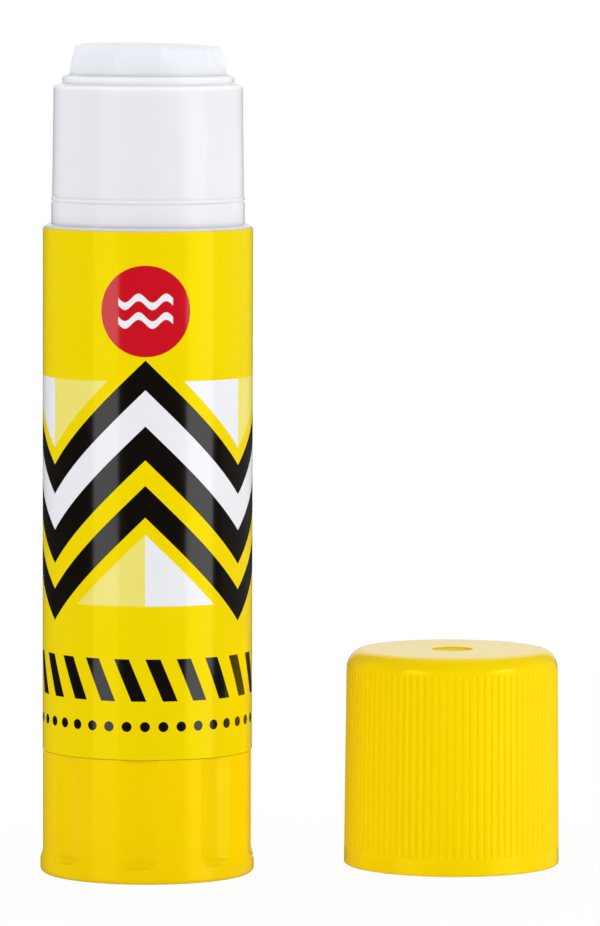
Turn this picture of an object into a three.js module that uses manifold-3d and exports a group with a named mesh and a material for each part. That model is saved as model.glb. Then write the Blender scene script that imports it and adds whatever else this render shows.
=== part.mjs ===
// A twist-up glue stick, with its push-on cap taken off and standing beside it.
// Millimetres, +Z up. The origin is on the stick's axis, on the surface that knob and cap stand on.
// Turning the knob turns the threaded spindle, which lifts the glue in its keyed carrier.
import * as THREE from "three";
import { mergeVertices } from "three/addons/utils/BufferGeometryUtils.js";
import Module from "manifold-3d";

const wasm = await Module();
wasm.setup();

// Clearances
const RUN_GAP = 0.2; // between pieces that turn against each other
const SLIDE_GAP = 0.2; // between pieces that slide along each other
const SEAT_GAP = 0.1; // between pieces that are pressed, snapped or cast together
const LABEL_GAP = 0.05; // between the label and the barrel that it is stuck to

// Radius over the label, which the steps and walls below lead in and out from
const STICK_RADIUS = 10;

// Knob
const KNOB_HEIGHT = 11.7;
const KNOB_PROUD = 0.02;
const KNOB_WALL = 1.14;
const KNOB_FLOOR = 1.4;
const KNOB_HUB_WALL = 1.7;
const KNOB_TOP_EDGE = 0.1;
const FOOT_FLARE = 0.21;
const FOOT_HEIGHT = 1.15;
const FOOT_ROUND = 1.2;
const FOOT_EDGE = 0.5;
const GRIP_COUNT = 8;
const GRIP_WIDTH = 3.65;
const GRIP_DEPTH = 0.38;
const GRIP_BOTTOM = 1.6;
const GRIP_END_BEVEL = 0.2;
const GRIP_TURN = -2.8; // degrees that the front grip lies from the front, as the knob was left
const UNDERSIDE_PAD_RADIUS = 4.6;
const UNDERSIDE_GROOVE_WIDTH = 3.2;
const UNDERSIDE_GROOVE_DEPTH = 0.5;
const STIFFENER_COUNT = 6;
const STIFFENER_WIDTH = 0.8;

// Barrel
const BODY_LENGTH = 50.05;
const SPIGOT_STANDOFF = 2.15;
const WEB_HEIGHT_IN_SPIGOT = 1;
const WEB_THICKNESS = 1.4;
const SHOULDER_EDGE = 0.3;
const SHOULDER_STEP = 0.645;
const COLLAR_LENGTH = 2.65;
const COLLAR_STEP = 0.1;
const COLLAR_GROOVE_DEPTH = 0.14;
const COLLAR_GROOVE_WIDTH = 0.28;
const COLLAR_GROOVE_DROP = 0.26;
const NECK_LENGTH = 10.62;
const NECK_DRAFT = 0.12;
const NECK_EDGE = 0.2;
const RIM_LENGTH = 0.88;
const RIM_STEP = 0.835;
const RIM_WALL = 0.6;
const RIM_EDGE = 0.22;
const KEY_COUNT = 4;
const KEY_WIDTH = 1.2;
const KEY_HEIGHT = 0.55;
const KEY_END_BELOW_RIM = 6.05;

// Label
const LABEL_THICKNESS = 0.1;
const LABEL_MARGIN = 0.05;
const LABEL_OVERLAP_STEPS = 3;
const LABEL_RAMP_STEPS = 2;

// Screw feed. The thread is left-handed, so a clockwise turn seen from the foot lifts the glue.
const LEAD = 4;
const CORE_RADIUS = 1.9;
const RIDGE_HEIGHT = 0.7;
const RIDGE_ROOT_WIDTH = 1.7;
const RIDGE_CREST_WIDTH = 0.8;
const THREAD_TIP_BEVEL = 0.7;
const FLANGE_WIDTH = 2.45;
const FLANGE_THICKNESS = 1.2;
const JOURNAL_RADIUS = 2.75;
const STUB_STEP = 0.2;
const STUB_BEAD_STEP = 0.1;
const STUB_BEAD_HEIGHT = 0.8;
const STUB_BEAD_DROP = 1.1;

// Carrier and glue
const RETRACT_TRAVEL = 4.4;
const CUP_END_BELOW_RIM = 3.65;
const NUT_LENGTH = 6;
const HUB_LENGTH = 12;
const HUB_WALL = 1.15;
const PLATE_THICKNESS = 1.5;
const CUP_DEPTH = 3;
const CUP_WALL = 0.6;
const GUSSET_WIDTH = 0.8;
const GUSSET_HEIGHT = 3.5;
const GLUE_PROUD = 2.84;
const GLUE_ROUND_WIDTH = 1.14;
const GLUE_ROUND_HEIGHT = 3.2;
const GLUE_ROUND_END = 56; // degrees of the side's rounding, where the tip's edge cuts it off
const GLUE_TIP_EDGE = 0.25;
const GLUE_DOME = 0.26;
const GLUE_TIP_LEAN = 1.1; // degrees, the tip is higher on its left

// Cap
const CAP_X = 29.27;
const CAP_Y = 6.29;
const CAP_HEIGHT = 20.77;
const CAP_WALL = 1.03;
const CAP_DRAFT = 0.19;
const CAP_SHOULDER_WIDTH = 1.7;
const CAP_SHOULDER_HEIGHT = 1.97;
const CAP_EDGE = 0.25;
const CAP_ROOF = 1.3;
const CAP_FIT_GAP = 0.15;
const CAP_DIMPLE_RADIUS = 1.95;
const CAP_DIMPLE_DEPTH = 0.6;
const CAP_RIB_COUNT = 90;
const CAP_RIB_BASE = 1.6;
const CAP_RIB_TOP_MARGIN = 1.42;
const CAP_VALLEY_DEPTH = 0.17;
const CAP_VALLEY_WIDTH = 0.36;
const SNAP_RING_HEIGHT = 0.5;
const SNAP_BITE = 0.04;

// Facets round each kind of piece
const SHELL_SEGMENTS = 48;
const KNOB_SEGMENTS = 60;
const INNER_SEGMENTS = 32;
const THREAD_SEGMENTS = 14;
const SMALL_SEGMENTS = 20;

// Radii, worked out from the sizes above
const barrelRadius = STICK_RADIUS - LABEL_THICKNESS - LABEL_GAP;
const collarRadius = barrelRadius - SHOULDER_STEP;
const neckBaseRadius = collarRadius - COLLAR_STEP;
const neckTopRadius = neckBaseRadius - NECK_DRAFT;
const rimRadius = neckTopRadius - RIM_STEP;
const boreRadius = rimRadius - RIM_WALL;
const keyInnerRadius = boreRadius - KEY_HEIGHT;
const carrierRadius = boreRadius - SLIDE_GAP;
const knobRadius = STICK_RADIUS + KNOB_PROUD;
const knobInnerRadius = knobRadius - KNOB_WALL;
const footRadius = knobRadius + FOOT_FLARE;
const spigotRadius = knobInnerRadius - RUN_GAP;
const crestRadius = CORE_RADIUS + RIDGE_HEIGHT;
const threadBoreRadius = crestRadius + SLIDE_GAP + SEAT_GAP;
const stubRadius = JOURNAL_RADIUS - STUB_STEP;
const stubBeadRadius = stubRadius - STUB_BEAD_STEP;
const socketRadius = stubRadius + SEAT_GAP;

// Levels up the stick, worked out from the sizes above
const skirtZ = KNOB_HEIGHT + RUN_GAP;
const shoulderZ = skirtZ + BODY_LENGTH;
const collarTopZ = shoulderZ + COLLAR_LENGTH;
const neckTopZ = collarTopZ + NECK_LENGTH;
const rimZ = neckTopZ + RIM_LENGTH;
const keyTopZ = rimZ - KEY_END_BELOW_RIM;
const spigotZ = KNOB_FLOOR + SPIGOT_STANDOFF;
const webZ = spigotZ + WEB_HEIGHT_IN_SPIGOT;
const webTopZ = webZ + WEB_THICKNESS;
const hubTopZ = webZ - RUN_GAP;
const stubZ = KNOB_FLOOR + SEAT_GAP;
const flangeZ = webTopZ + RUN_GAP;
const threadZ = flangeZ + FLANGE_THICKNESS;
const nutZ = threadZ + RUN_GAP + RETRACT_TRAVEL;
const plateZ = nutZ + HUB_LENGTH;
const plateTopZ = plateZ + PLATE_THICKNESS;
const cupTopZ = plateTopZ + CUP_DEPTH;
const extendTravel = rimZ - CUP_END_BELOW_RIM - cupTopZ;
const threadTopZ = nutZ + extendTravel + NUT_LENGTH + THREAD_TIP_BEVEL;

const deg = THREE.MathUtils.degToRad;

// Part of an ellipse as [radius, z] points, from one angle to another in degrees.
function arc(r, z, rr, rz, from, to, steps) {
  return Array.from({ length: steps + 1 }, (_, i) => {
    const a = deg(from + ((to - from) * i) / steps);
    return [r + rr * Math.cos(a), z + rz * Math.sin(a)];
  });
}

// A geometry as a solid: vertices merged, and the flat triangles at a lathe's poles left out.
function solidOf(geometry) {
  const bare = new THREE.BufferGeometry();
  bare.setAttribute("position", geometry.getAttribute("position"));
  bare.setIndex(geometry.index);
  const merged = mergeVertices(bare, 1e-4);
  const triangles = [];
  for (let i = 0; i < merged.index.count; i += 3) {
    const [a, b, c] = [0, 1, 2].map((k) => merged.index.getX(i + k));
    if (a !== b && b !== c && c !== a) triangles.push(a, b, c);
  }
  return new wasm.Manifold(
    new wasm.Mesh({
      numProp: 3,
      vertProperties: merged.getAttribute("position").array,
      triVerts: new Uint32Array(triangles),
    }),
  );
}

// A profile of [radius, z] points turned about the axis, drawn out along the bottom and up the outside.
function lathe(profile, segments, phase = 0) {
  const points = profile.map(([r, z]) => new THREE.Vector2(r, z));
  return new THREE.LatheGeometry(points, segments, phase).rotateX(Math.PI / 2);
}

function turned(profile, segments, phase = 0) {
  return solidOf(lathe(profile, segments, phase));
}

// The same for a profile that closes on itself round an open middle.
function turnedRing(profile, segments) {
  return turned([...profile, profile[0]], segments);
}

function disc(radius, bottom, top, segments) {
  return turned([[0, bottom], [radius, bottom], [radius, top], [0, top]], segments);
}

// A flat outline of [x, y] points pulled up from one level to another.
function extruded(outline, bottom, top) {
  const shape = new THREE.Shape(outline.map(([x, y]) => new THREE.Vector2(x, y)));
  const geometry = new THREE.ExtrudeGeometry(shape, { depth: top - bottom, bevelEnabled: false });
  return solidOf(geometry.translate(0, 0, bottom));
}

// A regular prism about the axis, with its first corner at the front.
function prism(sides, cornerRadius, bottom, top) {
  const corners = Array.from({ length: sides }, (_, i) => {
    const a = deg(-90 + (360 * i) / sides);
    return [cornerRadius * Math.cos(a), cornerRadius * Math.sin(a)];
  });
  return extruded(corners, bottom, top);
}

// Copies of a bar that runs out along a radius, evenly spaced about the axis.
function spokes(count, width, innerRadius, outerRadius, bottom, top) {
  const bar = new THREE.BoxGeometry(outerRadius - innerRadius, width, top - bottom);
  bar.translate((innerRadius + outerRadius) / 2, 0, (bottom + top) / 2);
  const copies = Array.from({ length: count }, (_, i) =>
    solidOf(bar.clone().rotateZ(deg(45 + (360 * i) / count))),
  );
  return wasm.Manifold.union(copies);
}

// A left-handed threaded bar. Each row of points climbs one lead in a clockwise turn, and joins
// the row one lead above where the turn ends. The two ends close on the axis and are cut off square.
function threaded(core, crest, rootWidth, crestWidth, bottom, top, bevel) {
  const ridge = [
    [core, -rootWidth / 2],
    [crest, -crestWidth / 2],
    [crest, crestWidth / 2],
    [core, rootWidth / 2],
  ];
  const firstTurn = Math.floor(bottom / LEAD) - 2;
  const lastTurn = Math.ceil(top / LEAD) + 1;
  const rows = [];
  for (let turn = firstTurn; turn <= lastTurn; turn++)
    for (const [r, z] of ridge) rows.push([r, z + (turn + 0.5) * LEAD]);
  const rowCount = rows.length - ridge.length;
  const positions = [];
  const index = [];
  const vertex = (column, row) =>
    column < THREAD_SEGMENTS
      ? row * THREAD_SEGMENTS + column
      : (row + ridge.length) * THREAD_SEGMENTS + column - THREAD_SEGMENTS;
  rows.forEach(([r, z]) => {
    for (let i = 0; i < THREAD_SEGMENTS; i++) {
      const turnPart = i / THREAD_SEGMENTS;
      const a = -2 * Math.PI * turnPart;
      positions.push(r * Math.cos(a), r * Math.sin(a), z + LEAD * turnPart);
    }
  });
  for (let row = 0; row < rowCount - 1; row++)
    for (let i = 0; i < THREAD_SEGMENTS; i++) {
      const [a, b] = [vertex(i, row), vertex(i + 1, row)];
      const [c, d] = [vertex(i + 1, row + 1), vertex(i, row + 1)];
      index.push(a, c, b, a, d, c);
    }
  const closeEnd = (row, axisZ, facesUp) => {
    const axis = positions.length / 3;
    positions.push(0, 0, axisZ);
    const loop = Array.from({ length: THREAD_SEGMENTS }, (_, i) => vertex(i, row));
    for (let k = ridge.length; k > 0; k--) loop.push(vertex(0, row + k));
    loop.forEach((v, i) => {
      const next = loop[(i + 1) % loop.length];
      index.push(...(facesUp ? [axis, next, v] : [axis, v, next]));
    });
  };
  closeEnd(0, rows[0][1], false);
  closeEnd(rowCount - 1, rows[rowCount - 1][1] + LEAD, true);
  const geometry = new THREE.BufferGeometry();
  geometry.setAttribute("position", new THREE.Float32BufferAttribute(positions, 3));
  geometry.setIndex(index);
  const beyond = crest + 1;
  const tip = crest - bevel;
  const ends = bevel
    ? [[0, bottom], [beyond, bottom], [beyond, top - bevel - 1], [crest, top - bevel], [tip, top], [0, top]]
    : [[0, bottom], [beyond, bottom], [beyond, top], [0, top]];
  return solidOf(geometry).intersect(turned(ends, THREAD_SEGMENTS));
}

const materials = {
  yellow: new THREE.MeshStandardMaterial({ color: 0xf5cf05, roughness: 0.35, metalness: 0 }),
  white: new THREE.MeshStandardMaterial({ color: 0xe9e9ef, roughness: 0.4, metalness: 0 }),
  film: new THREE.MeshStandardMaterial({ color: 0xf2dc00, roughness: 0.15, metalness: 0 }),
  glue: new THREE.MeshStandardMaterial({ color: 0xe8ecf3, roughness: 0.6, metalness: 0 }),
};

// A solid as a named mesh.
function piece(name, solid, material) {
  const { numProp, numVert, vertProperties, triVerts } = solid.getMesh();
  const positions = new Float32Array(numVert * 3);
  for (let i = 0; i < numVert; i++)
    positions.set(vertProperties.subarray(i * numProp, i * numProp + 3), i * 3);
  const geometry = new THREE.BufferGeometry();
  geometry.setAttribute("position", new THREE.BufferAttribute(positions, 3));
  geometry.setIndex(new THREE.BufferAttribute(triVerts, 1));
  geometry.computeVertexNormals();
  const mesh = new THREE.Mesh(geometry, material);
  mesh.name = name;
  return mesh;
}

// Knob: a cup with a flared foot and shallow upright finger grips, which run out at its top edge.
// Its hub holds the end of the spindle.
function makeKnob() {
  const hubRadius = socketRadius + KNOB_HUB_WALL;
  const topEdge = knobRadius - KNOB_TOP_EDGE;
  const outside = turned(
    [
      [0, 0],
      ...arc(footRadius - FOOT_EDGE, FOOT_EDGE, FOOT_EDGE, FOOT_EDGE, -90, 0, 3),
      ...arc(knobRadius, FOOT_HEIGHT, FOOT_FLARE, FOOT_ROUND, 0, 90, 4),
      ...arc(topEdge, KNOB_HEIGHT - KNOB_TOP_EDGE, KNOB_TOP_EDGE, KNOB_TOP_EDGE, 0, 90, 1),
      [0, KNOB_HEIGHT],
    ],
    KNOB_SEGMENTS,
  );
  const hollow = turnedRing(
    [
      [hubRadius, KNOB_FLOOR],
      [knobInnerRadius, KNOB_FLOOR],
      [knobInnerRadius, KNOB_HEIGHT + 1],
      [0, KNOB_HEIGHT + 1],
      [0, hubTopZ],
      [hubRadius, hubTopZ],
    ],
    KNOB_SEGMENTS / 2,
  );
  const footGroove = turnedRing(
    [
      [UNDERSIDE_PAD_RADIUS, -1],
      [UNDERSIDE_PAD_RADIUS + UNDERSIDE_GROOVE_WIDTH, -1],
      [UNDERSIDE_PAD_RADIUS + UNDERSIDE_GROOVE_WIDTH, UNDERSIDE_GROOVE_DEPTH],
      [UNDERSIDE_PAD_RADIUS, UNDERSIDE_GROOVE_DEPTH],
    ],
    KNOB_SEGMENTS / 2,
  );
  // Each grip is a hollow from a round cutter that stands beside the knob.
  const chordDepth = knobRadius - Math.sqrt(knobRadius ** 2 - GRIP_WIDTH ** 2 / 4);
  const hollowed = GRIP_DEPTH - chordDepth;
  const cutterRadius = (GRIP_WIDTH ** 2 / 4 + hollowed ** 2) / (2 * hollowed);
  const cutter = turned(
    [
      [0, GRIP_BOTTOM],
      [cutterRadius - GRIP_END_BEVEL, GRIP_BOTTOM],
      [cutterRadius, GRIP_BOTTOM + GRIP_END_BEVEL],
      [cutterRadius, KNOB_HEIGHT + 1],
      [0, KNOB_HEIGHT + 1],
    ],
    SHELL_SEGMENTS,
  );
  const grips = wasm.Manifold.union(
    Array.from({ length: GRIP_COUNT }, (_, i) =>
      cutter
        .translate([0, GRIP_DEPTH - knobRadius - cutterRadius, 0])
        .rotate([0, 0, GRIP_TURN + (360 * i) / GRIP_COUNT]),
    ),
  );
  const stiffeners = spokes(
    STIFFENER_COUNT,
    STIFFENER_WIDTH,
    hubRadius - STIFFENER_WIDTH,
    knobInnerRadius + KNOB_WALL / 2,
    KNOB_FLOOR / 2,
    spigotZ - RUN_GAP,
  );
  const beadGroove = disc(
    stubBeadRadius + SEAT_GAP,
    hubTopZ - STUB_BEAD_DROP - STUB_BEAD_HEIGHT - SEAT_GAP,
    hubTopZ - STUB_BEAD_DROP + SEAT_GAP,
    SMALL_SEGMENTS,
  );
  const socket = prism(6, socketRadius, KNOB_FLOOR, hubTopZ + 1).add(beadGroove);
  return outside.subtract(hollow).subtract(footGroove).add(stiffeners).subtract(grips).subtract(socket);
}

// Spindle: threaded bar, thrust flange, journal and a six-sided stub that snaps into the knob.
function makeSpindle() {
  const thread = threaded(
    CORE_RADIUS,
    crestRadius,
    RIDGE_ROOT_WIDTH,
    RIDGE_CREST_WIDTH,
    threadZ - FLANGE_THICKNESS / 2,
    threadTopZ,
    THREAD_TIP_BEVEL,
  );
  const flange = disc(JOURNAL_RADIUS + FLANGE_WIDTH, flangeZ, threadZ, INNER_SEGMENTS);
  const journal = disc(JOURNAL_RADIUS, hubTopZ + SEAT_GAP, flangeZ + FLANGE_THICKNESS / 2, SMALL_SEGMENTS);
  const stub = prism(6, stubRadius, stubZ, webZ);
  const beadTop = hubTopZ - STUB_BEAD_DROP;
  const bead = disc(stubBeadRadius, beadTop - STUB_BEAD_HEIGHT, beadTop, SMALL_SEGMENTS);
  return wasm.Manifold.union([thread, flange, journal, stub, bead]);
}

// Barrel: body, shoulder, snap collar, drafted neck and thin rim in one moulding. The spigot below
// turns in the knob, its web carries the spindle, and keys along the bore stop the carrier turning.
function makeBarrel() {
  const grooveTop = collarTopZ - COLLAR_GROOVE_DROP;
  const grooveBottom = grooveTop - COLLAR_GROOVE_WIDTH;
  const grooveRadius = collarRadius - COLLAR_GROOVE_DEPTH;
  const shell = turnedRing(
    [
      [boreRadius, spigotZ],
      [spigotRadius, spigotZ],
      [spigotRadius, skirtZ],
      [barrelRadius, skirtZ],
      ...arc(barrelRadius - SHOULDER_EDGE, shoulderZ - SHOULDER_EDGE, SHOULDER_EDGE, SHOULDER_EDGE, 0, 90, 3),
      [collarRadius, shoulderZ],
      [collarRadius, grooveBottom],
      [grooveRadius, grooveBottom + COLLAR_GROOVE_WIDTH / 2],
      [collarRadius, grooveTop],
      [collarRadius, collarTopZ - COLLAR_STEP],
      [neckBaseRadius, collarTopZ],
      ...arc(neckTopRadius - NECK_EDGE, neckTopZ - NECK_EDGE, NECK_EDGE, NECK_EDGE, 0, 90, 2),
      [rimRadius, neckTopZ],
      ...arc(rimRadius - RIM_EDGE, rimZ - RIM_EDGE, RIM_EDGE, RIM_EDGE, 0, 90, 2),
      [boreRadius, rimZ],
    ],
    SHELL_SEGMENTS,
  );
  const bearing = JOURNAL_RADIUS + RUN_GAP;
  const web = turnedRing(
    [
      [bearing, webZ],
      [spigotRadius - SEAT_GAP, webZ],
      [spigotRadius - SEAT_GAP, webTopZ],
      [bearing, webTopZ],
    ],
    SHELL_SEGMENTS,
  );
  const keys = spokes(KEY_COUNT, KEY_WIDTH, keyInnerRadius, boreRadius + KEY_HEIGHT / 2, webTopZ - SEAT_GAP, keyTopZ);
  return shell.add(web).add(keys);
}

// Label: one printed film wrapped round the body, its end lapped over its start at the back.
function makeLabel() {
  const inner = barrelRadius + LABEL_GAP;
  const lapRise = LABEL_THICKNESS + LABEL_GAP;
  const steps = SHELL_SEGMENTS + LABEL_OVERLAP_STEPS;
  const edge = (radius) =>
    Array.from({ length: steps + 1 }, (_, i) => {
      const climbed = (i - (SHELL_SEGMENTS - LABEL_RAMP_STEPS)) / LABEL_RAMP_STEPS;
      const r = radius + lapRise * Math.min(Math.max(climbed, 0), 1);
      const a = deg(90 + (360 * i) / SHELL_SEGMENTS);
      return [r * Math.cos(a), r * Math.sin(a)];
    });
  const outline = [...edge(inner + LABEL_THICKNESS), ...edge(inner).reverse()];
  return extruded(outline, skirtZ + LABEL_MARGIN, shoulderZ - SHOULDER_EDGE);
}

// Carrier: a cup that holds the glue's foot, notched for the keys, with a threaded hub under it.
function makeCarrier() {
  const hubRadius = threadBoreRadius + HUB_WALL;
  const nutRadius = CORE_RADIUS + SLIDE_GAP;
  const body = turnedRing(
    [
      [nutRadius, nutZ],
      [hubRadius, nutZ],
      [hubRadius, plateZ],
      [carrierRadius, plateZ],
      [carrierRadius, cupTopZ],
      [carrierRadius - CUP_WALL, cupTopZ],
      [carrierRadius - CUP_WALL, plateTopZ],
      [threadBoreRadius, plateTopZ],
      [threadBoreRadius, nutZ + NUT_LENGTH],
      [nutRadius, nutZ + NUT_LENGTH],
    ],
    INNER_SEGMENTS,
  );
  const gussets = spokes(
    KEY_COUNT,
    GUSSET_WIDTH,
    hubRadius - HUB_WALL / 2,
    keyInnerRadius - 2 * SLIDE_GAP,
    plateZ - GUSSET_HEIGHT,
    plateZ + PLATE_THICKNESS / 2,
  );
  const notches = spokes(
    KEY_COUNT,
    KEY_WIDTH + 2 * SLIDE_GAP,
    keyInnerRadius - SLIDE_GAP,
    boreRadius + 1,
    nutZ,
    cupTopZ + 1,
  );
  const nutThread = threaded(
    CORE_RADIUS + SLIDE_GAP,
    crestRadius + SLIDE_GAP,
    RIDGE_ROOT_WIDTH + 2 * SLIDE_GAP,
    RIDGE_CREST_WIDTH + 2 * SLIDE_GAP,
    nutZ - 1,
    nutZ + NUT_LENGTH + SEAT_GAP,
    0,
  );
  return body.add(gussets).subtract(notches).subtract(nutThread);
}

// Glue: a cast stick with a rounded, slightly domed tip, bored for the spindle and grooved by the keys.
function makeGlue() {
  const footRadius = carrierRadius - CUP_WALL - SEAT_GAP;
  const side = arc(
    carrierRadius - GLUE_ROUND_WIDTH, rimZ, GLUE_ROUND_WIDTH, GLUE_ROUND_HEIGHT, 0, GLUE_ROUND_END, 3,
  );
  const edgeRadius = side.at(-1)[0] - GLUE_TIP_EDGE;
  const tipZ = rimZ + GLUE_PROUD;
  const boreTopZ = threadTopZ + RETRACT_TRAVEL + SLIDE_GAP;
  const shape = lathe(
    [
      [0, boreTopZ + threadBoreRadius / 2],
      [threadBoreRadius, boreTopZ],
      [threadBoreRadius, plateTopZ + SEAT_GAP],
      [footRadius, plateTopZ + SEAT_GAP],
      [footRadius, cupTopZ + SEAT_GAP],
      [carrierRadius, cupTopZ + SEAT_GAP],
      ...side,
      ...arc(edgeRadius, tipZ - GLUE_TIP_EDGE, GLUE_TIP_EDGE, GLUE_TIP_EDGE, 30, 90, 2),
      ...arc(0, tipZ, edgeRadius, GLUE_DOME, 30, 90, 2),
    ],
    INNER_SEGMENTS,
  );
  // Lean the tip: above the rim, each point moves up on the left and down on the right.
  const points = shape.getAttribute("position");
  for (let i = 0; i < points.count; i++) {
    const share = THREE.MathUtils.clamp((points.getZ(i) - rimZ) / GLUE_PROUD, 0, 1);
    points.setZ(i, points.getZ(i) - share * points.getX(i) * Math.tan(deg(GLUE_TIP_LEAN)));
  }
  const grooves = spokes(
    KEY_COUNT,
    KEY_WIDTH + 2 * SLIDE_GAP,
    keyInnerRadius - SLIDE_GAP,
    boreRadius + 1,
    plateZ,
    keyTopZ + RETRACT_TRAVEL + SLIDE_GAP,
  );
  return solidOf(shape).subtract(grooves);
}

// Cap: a thin-walled cup, mouth down, ribbed outside. A small ring inside it snaps into the collar's
// groove, and a long ring under its roof closes round the rim.
function makeCap() {
  const bore = collarRadius + CAP_FIT_GAP;
  const mouthRadius = bore + CAP_WALL;
  const topRadius = mouthRadius - CAP_DRAFT;
  const roofZ = CAP_HEIGHT - CAP_ROOF;
  const snapZ = COLLAR_LENGTH - COLLAR_GROOVE_DROP - COLLAR_GROOVE_WIDTH / 2;
  const sealInner = rimRadius + SEAT_GAP;
  const sealOuter = neckTopRadius - SEAT_GAP;
  const sealZ = COLLAR_LENGTH + NECK_LENGTH + SEAT_GAP;
  const wallTopZ = CAP_HEIGHT - CAP_SHOULDER_HEIGHT;
  const outside = turned(
    [
      [0, 0],
      ...arc(mouthRadius - CAP_EDGE, CAP_EDGE, CAP_EDGE, CAP_EDGE, -90, 0, 2),
      ...arc(topRadius - CAP_SHOULDER_WIDTH, wallTopZ, CAP_SHOULDER_WIDTH, CAP_SHOULDER_HEIGHT, 0, 90, 5),
      [0, CAP_HEIGHT],
    ],
    CAP_RIB_COUNT,
  );
  const inside = turned(
    [
      [0, -1],
      [bore + CAP_EDGE + 1, -1],
      [bore, CAP_EDGE],
      [bore, snapZ - SNAP_RING_HEIGHT / 2],
      [collarRadius - SNAP_BITE, snapZ],
      [bore, snapZ + SNAP_RING_HEIGHT / 2],
      [bore, roofZ],
      [sealOuter, roofZ],
      [sealOuter, sealZ],
      [sealInner, sealZ],
      [sealInner, roofZ],
      [0, roofZ],
    ],
    INNER_SEGMENTS,
  );
  const dimple = disc(CAP_DIMPLE_RADIUS, CAP_HEIGHT - CAP_DIMPLE_DEPTH, CAP_HEIGHT + 1, SMALL_SEGMENTS);
  const wallAt = (z) => mouthRadius - (CAP_DRAFT * z) / wallTopZ;
  const valleyTopZ = CAP_HEIGHT - CAP_RIB_TOP_MARGIN;
  const valley = new THREE.BufferGeometry();
  const corners = [CAP_RIB_BASE, valleyTopZ].flatMap((z) => [
    wallAt(z) - CAP_VALLEY_DEPTH, 0, z,
    wallAt(z) + CAP_VALLEY_DEPTH, -CAP_VALLEY_WIDTH, z,
    wallAt(z) + CAP_VALLEY_DEPTH, CAP_VALLEY_WIDTH, z,
  ]);
  valley.setAttribute("position", new THREE.Float32BufferAttribute(corners, 3));
  valley.setIndex([0, 2, 1, 3, 4, 5, 0, 1, 4, 0, 4, 3, 1, 2, 5, 1, 5, 4, 2, 0, 3, 2, 3, 5]);
  const valleys = Array.from({ length: CAP_RIB_COUNT }, (_, i) =>
    solidOf(valley.clone().rotateZ(deg(-90 + (360 * i) / CAP_RIB_COUNT))),
  );
  return outside.subtract(wasm.Manifold.union(valleys)).subtract(inside).subtract(dimple);
}

const stick = new THREE.Group();
stick.name = "glue_stick";
const cap = piece("cap", makeCap(), materials.yellow);
cap.position.set(CAP_X, CAP_Y, 0);
stick.add(
  piece("knob", makeKnob(), materials.yellow),
  piece("spindle", makeSpindle(), materials.white),
  piece("barrel", makeBarrel(), materials.white),
  piece("label", makeLabel(), materials.film),
  piece("carrier", makeCarrier(), materials.white),
  piece("glue", makeGlue(), materials.glue),
  cap,
);

export default stick;
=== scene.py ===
"""A twist-up glue stick with its ribbed cap standing beside it, dressed for the studio.

Metres, +Z up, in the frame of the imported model. Sizes below are in millimetres, and MM turns them
into metres where a mesh is made.
"""

import math

import bmesh
import bpy
from mathutils import Matrix, Vector


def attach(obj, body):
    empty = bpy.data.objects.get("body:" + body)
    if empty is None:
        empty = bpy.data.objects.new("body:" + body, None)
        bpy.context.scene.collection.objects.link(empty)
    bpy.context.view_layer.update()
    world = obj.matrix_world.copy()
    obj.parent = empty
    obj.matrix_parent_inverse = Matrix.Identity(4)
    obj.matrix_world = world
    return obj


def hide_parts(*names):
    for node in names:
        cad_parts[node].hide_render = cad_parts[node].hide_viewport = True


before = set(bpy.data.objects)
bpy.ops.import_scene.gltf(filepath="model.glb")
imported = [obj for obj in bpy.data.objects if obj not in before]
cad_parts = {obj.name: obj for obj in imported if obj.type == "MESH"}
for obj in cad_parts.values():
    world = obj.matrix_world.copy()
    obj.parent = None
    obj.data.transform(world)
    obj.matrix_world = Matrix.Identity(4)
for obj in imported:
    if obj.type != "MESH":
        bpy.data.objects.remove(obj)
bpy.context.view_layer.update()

# Camera and studio
# A long lens a little above the stick, as in the photograph, with two tall soft lamps at the front
# that leave their upright bands on the label and the neck, in a room with a pale backdrop. The
# camera's place is in metres, and its angles are in degrees.
MM = 0.001
LENS = 268.91
CAMERA_PLACE = (0.01452, -0.65731, 0.09203)
CAMERA_PITCH = -4.595
CAMERA_ROLL = 0.187

camera_data = bpy.data.cameras.new("photo_camera")
camera_data.sensor_fit = "AUTO"
camera_data.sensor_width = 36
camera_data.lens = LENS
camera_data.clip_start = 0.05
camera_data.clip_end = 50
camera = bpy.data.objects.new("photo_camera", camera_data)
camera.rotation_euler = (
    Matrix.Rotation(math.radians(90 + CAMERA_PITCH), 4, "X")
    @ Matrix.Rotation(math.radians(CAMERA_ROLL), 4, "Z")
).to_euler()
camera.location = CAMERA_PLACE
bpy.context.scene.collection.objects.link(camera)
bpy.context.scene.camera = camera
bpy.context.scene.view_settings.view_transform = "Standard"


class Value:
    """A number in a shader's nodes. Python's operators add the Math nodes."""

    def __init__(self, paint, socket):
        self.paint = paint
        self.socket = socket

    def __add__(self, other):
        return self.paint.number("ADD", self, other)

    def __radd__(self, other):
        return self.paint.number("ADD", other, self)

    def __sub__(self, other):
        return self.paint.number("SUBTRACT", self, other)

    def __rsub__(self, other):
        return self.paint.number("SUBTRACT", other, self)

    def __mul__(self, other):
        return self.paint.number("MULTIPLY", self, other)

    def __rmul__(self, other):
        return self.paint.number("MULTIPLY", other, self)

    def __truediv__(self, other):
        return self.paint.number("DIVIDE", self, other)

    def __abs__(self):
        return self.paint.number("ABSOLUTE", self)


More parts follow.
